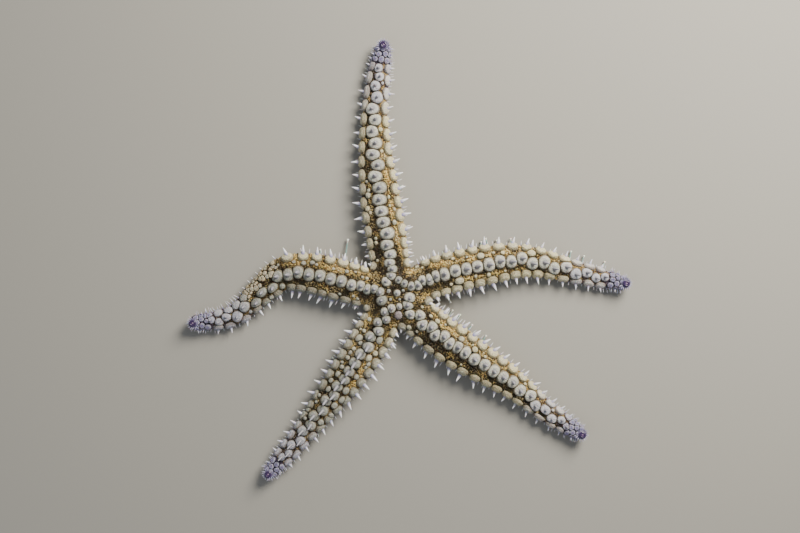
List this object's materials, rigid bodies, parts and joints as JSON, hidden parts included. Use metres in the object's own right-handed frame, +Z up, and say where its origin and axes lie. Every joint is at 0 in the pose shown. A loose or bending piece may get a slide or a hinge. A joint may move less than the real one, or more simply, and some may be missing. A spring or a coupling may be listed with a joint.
{
  "type": "spiny starfish",
  "caption": "Life-size spiny starfish at rest on the floor: a small disc, long tapering arms lined with plump plates that each grow a pointed spine, and eyespots at the tips.",
  "frame": {"origin": "middle of the model's footprint, on the floor", "axes": "+Z up from the floor, +Y along the arm with the straightest course away from the madreporite, +X to the right of it seen from above"},
  "size_m": [0.243, 0.2414, 0.0161],
  "materials": {
    "skin": "moist, ochre to dark brown skin between the plates, with fine soft papulae",
    "plates": "matt, whitish grey cushions of fine pincer organs",
    "spines": "satin chalky spines, lilac at the foot and white at the point",
    "tube_feet": "moist, translucent straw-white feet with white suckers",
    "eyespot": "satin violet",
    "madreporite": "matt, finely grooved, pinkish lilac",
    "mouth": "moist, soft membrane"
  },
  "bodies": {
    "root": {"disc": "skin", "madreporite": "madreporite", "mouth": "mouth", "arm_north_inner": "skin", "arm_north_middle": "skin", "arm_north_outer": "skin", "eyespot_north": "eyespot", "arm_east_inner": "skin", "arm_east_middle": "skin", "arm_east_outer": "skin", "eyespot_east": "eyespot", "arm_southeast_inner": "skin", "arm_southeast_middle": "skin", "arm_southeast_outer": "skin", "eyespot_southeast": "eyespot", "arm_southwest_inner": "skin", "arm_southwest_middle": "skin", "arm_southwest_outer": "skin", "eyespot_southwest": "eyespot", "arm_west_inner": "skin", "arm_west_middle": "skin", "arm_west_outer": "skin", "eyespot_west": "eyespot"}
  },
  "joints": []
}
